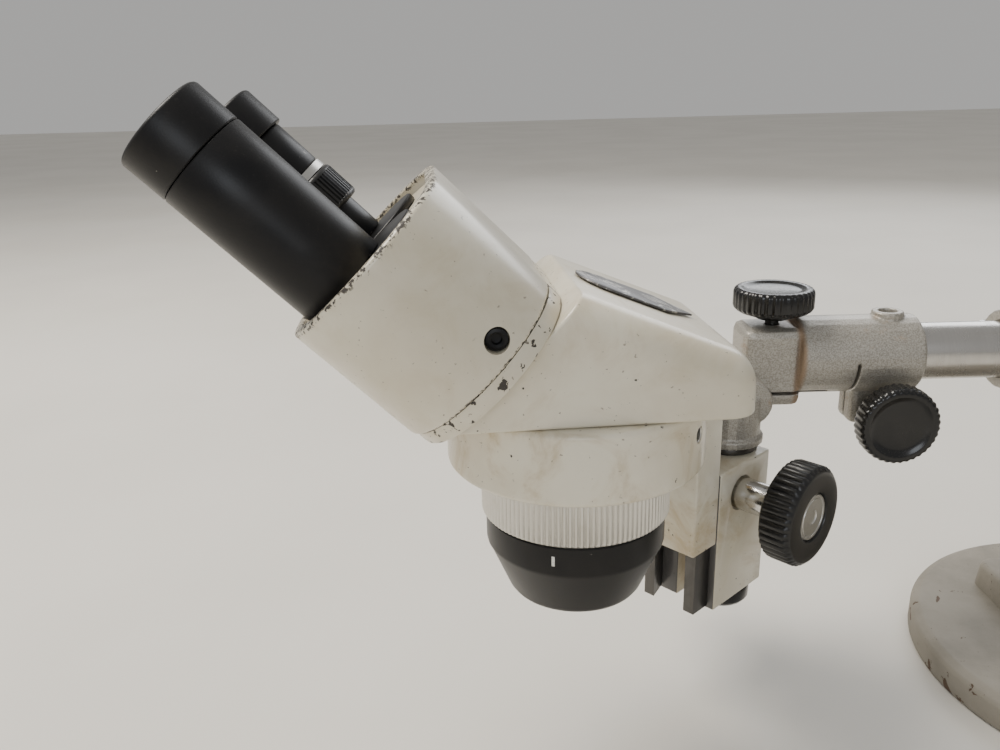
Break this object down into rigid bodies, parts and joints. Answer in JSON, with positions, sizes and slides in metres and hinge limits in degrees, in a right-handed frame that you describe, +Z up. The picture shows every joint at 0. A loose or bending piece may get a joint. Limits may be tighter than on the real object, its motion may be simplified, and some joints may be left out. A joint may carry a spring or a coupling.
{
  "type": "stereo microscope",
  "caption": "Stereo zoom microscope on a boom stand: round base, post, sliding boom, tilting rack focus, rotating pod with inclined eyepieces.",
  "frame": {"origin": "centre of the round base's flat underside, on the table", "axes": "+X along the boom from the microscope head towards the post, +Y away from the side the clamp knobs face, +Z up the post"},
  "size_m": [0.5773, 0.2239, 0.3],
  "materials": {
    "base_paint": "worn grey paint over rough casting, chipped rim",
    "cream_paint": "cream baked enamel with small chips and scuffs",
    "cast_silver": "silver-grey hammered paint on casting",
    "steel": "ground and polished",
    "dark_steel": "blackened, satin",
    "aluminium": "machined bright, knurled",
    "brass": "machined",
    "black_knob": "moulded, semi-gloss",
    "black_paint": "satin black anodised and painted",
    "nameplate": "blank etched plate, dark border",
    "lens": "coated optical glass"
  },
  "bodies": {
    "stand": {"base_casting": "base_paint", "post": "steel", "post_set_screw": "dark_steel"},
    "post_collar": {"post_stop_collar": "cast_silver"},
    "post_collar_thumb_screw": {"post_stop_collar_screw": "steel"},
    "cross_clamp": {"cross_clamp": "cast_silver"},
    "post_clamp_knob": {"post_clamp_knob": "black_knob"},
    "boom_clamp_knob": {"boom_clamp_knob": "black_knob"},
    "boom": {"boom_bar": "steel", "boom_end_cap": "black_knob"},
    "boom_collar": {"boom_stop_collar": "cast_silver"},
    "boom_collar_thumb_screw": {"boom_stop_collar_screw": "steel"},
    "bracket": {"boom_bracket": "cast_silver"},
    "tilt_clamp_knob": {"tilt_clamp_knob": "black_knob"},
    "bracket_clamp_knob": {"bracket_clamp_knob": "black_knob"},
    "hanger": {"hanger_casting": "cast_silver", "tilt_pin": "dark_steel", "yaw_pin": "steel", "pin_washer": "dark_steel", "pin_cap": "black_knob"},
    "focus_block": {"focus_block": "cream_paint", "rail_right": "dark_steel", "rail_left": "dark_steel"},
    "pinion": {"pinion_shaft": "steel", "shaft_sleeve_right": "steel", "shaft_sleeve_left": "steel", "focus_knob_right": "black_knob", "focus_knob_left": "black_knob", "knob_disc_right": "aluminium", "knob_disc_left": "aluminium"},
    "carriage": {"focus_slide": "dark_steel", "rack": "brass", "ring_holder": "cream_paint"},
    "pod": {"pod_seat": "black_paint", "pod_shell": "cream_paint", "nameplate": "nameplate", "head_flange": "cream_paint", "prism_housing": "cream_paint", "housing_side_screw": "dark_steel", "housing_base_screw": "dark_steel", "objective_cone": "black_paint", "objective_lens": "lens", "zoom_lens_cell_right": "brass", "zoom_lens_cell_left": "brass", "prism_right": "lens", "prism_left": "lens"},
    "zoom_ring": {"zoom_ring": "aluminium", "zoom_ring_screw": "dark_steel"},
    "right_eyepiece": {"turret_right": "black_paint", "right_tube": "black_paint", "right_eyecup": "black_knob", "right_eye_lens": "lens"},
    "left_turret": {"turret_left": "black_paint", "left_neck": "black_paint"},
    "left_eyepiece": {"silver_band": "aluminium", "left_barrel": "black_paint", "left_eyecup": "black_knob", "left_eye_lens": "lens"},
    "diopter_ring": {"diopter_ring": "black_knob"}
  },
  "joints": [
    {"name": "post_collar_slide", "type": "slide", "parent": "stand", "child": "post_collar", "axis": [0, 0, 1], "range_m": [-0.02, 0.1]},
    {"name": "post_collar_thumb_screw_turn", "type": "hinge", "parent": "post_collar", "child": "post_collar_thumb_screw", "pos_m": [0, 0, 0.1287], "axis": [0, -1, 0], "range_deg": [-180, 180]},
    {"name": "clamp_swivel", "type": "hinge", "parent": "post_collar", "child": "cross_clamp", "pos_m": [0, 0, 0.161], "axis": [0, 0, 1], "range_deg": [-60, 60]},
    {"name": "post_clamp_knob_turn", "type": "hinge", "parent": "cross_clamp", "child": "post_clamp_knob", "pos_m": [0, 0, 0.161], "axis": [0, -1, 0], "range_deg": [-90, 90]},
    {"name": "boom_clamp_knob_turn", "type": "hinge", "parent": "cross_clamp", "child": "boom_clamp_knob", "pos_m": [0, 0.034, 0.161], "axis": [0, 0, 1], "range_deg": [-90, 90]},
    {"name": "boom_slide", "type": "slide", "parent": "cross_clamp", "child": "boom", "axis": [1, 0, 0], "range_m": [-0.06, 0.025]},
    {"name": "boom_collar_slide", "type": "slide", "parent": "boom", "child": "boom_collar", "axis": [1, 0, 0], "range_m": [-0.034, 0.002]},
    {"name": "boom_collar_thumb_screw_turn", "type": "hinge", "parent": "boom_collar", "child": "boom_collar_thumb_screw", "pos_m": [-0.064, 0.034, 0.161], "axis": [0, 1, 0], "range_deg": [-180, 180]},
    {"name": "bracket_roll", "type": "hinge", "parent": "boom", "child": "bracket", "pos_m": [-0.141, 0.034, 0.161], "axis": [1, 0, 0], "range_deg": [-15, 15]},
    {"name": "tilt_clamp_knob_turn", "type": "hinge", "parent": "bracket", "child": "tilt_clamp_knob", "pos_m": [-0.184, 0.034, 0.161], "axis": [0, 0, 1], "range_deg": [-90, 90]},
    {"name": "bracket_clamp_knob_turn", "type": "hinge", "parent": "bracket", "child": "bracket_clamp_knob", "pos_m": [-0.13, 0.034, 0.134], "axis": [0, -1, 0], "range_deg": [-90, 90]},
    {"name": "hanger_tilt", "type": "hinge", "parent": "bracket", "child": "hanger", "pos_m": [-0.2, 0.034, 0.145], "axis": [0, -1, 0], "range_deg": [-20, 20]},
    {"name": "focus_block_yaw", "type": "hinge", "parent": "hanger", "child": "focus_block", "pos_m": [-0.207, 0.0165, 0.121], "axis": [0, 0, 1], "range_deg": [-50, 5]},
    {"name": "focus_travel", "type": "slide", "parent": "focus_block", "child": "carriage", "axis": [0, 0, 1], "range_m": [-0.025, 0.012]},
    {"name": "focus_knob_turn", "type": "hinge", "parent": "focus_block", "child": "pinion", "pos_m": [-0.21687, 0.00729, 0.106], "axis": [0.682, -0.7314, 0], "range_deg": [-150, 300]},
    {"name": "pod_turn", "type": "hinge", "parent": "carriage", "child": "pod", "pos_m": [-0.28818, -0.0592, 0.18], "axis": [0, 0, 1], "range_deg": [-60, 60]},
    {"name": "zoom_turn", "type": "hinge", "parent": "pod", "child": "zoom_ring", "pos_m": [-0.28818, -0.0592, 0.145], "axis": [0, 0, 1], "range_deg": [-65, 65]},
    {"name": "left_tube_swing", "type": "hinge", "parent": "pod", "child": "left_turret", "pos_m": [-0.36521, -0.04269, 0.2383], "axis": [-0.7049, -0.0555, 0.7071], "range_deg": [-20, 20]},
    {"name": "right_tube_swing", "type": "hinge", "parent": "pod", "child": "right_eyepiece", "pos_m": [-0.36168, -0.08756, 0.2383], "axis": [-0.7049, -0.0555, 0.7071], "range_deg": [-20, 20]},
    {"name": "diopter_travel", "type": "slide", "parent": "left_turret", "child": "left_eyepiece", "axis": [-0.7049, -0.0555, 0.7071], "range_m": [-0.0015, 0.0015]},
    {"name": "diopter_turn", "type": "hinge", "parent": "left_eyepiece", "child": "diopter_ring", "pos_m": [-0.37235, -0.03331, 0.23192], "axis": [-0.7049, -0.0555, 0.7071], "range_deg": [-120, 120]}
  ],
  "couplings": [
    {"joint": "focus_knob_turn", "follows": "focus_travel", "rad_per_m": -208.33},
    {"joint": "right_tube_swing", "follows": "left_tube_swing", "ratio": -1},
    {"joint": "diopter_turn", "follows": "diopter_travel", "rad_per_m": 1279.9}
  ]
}
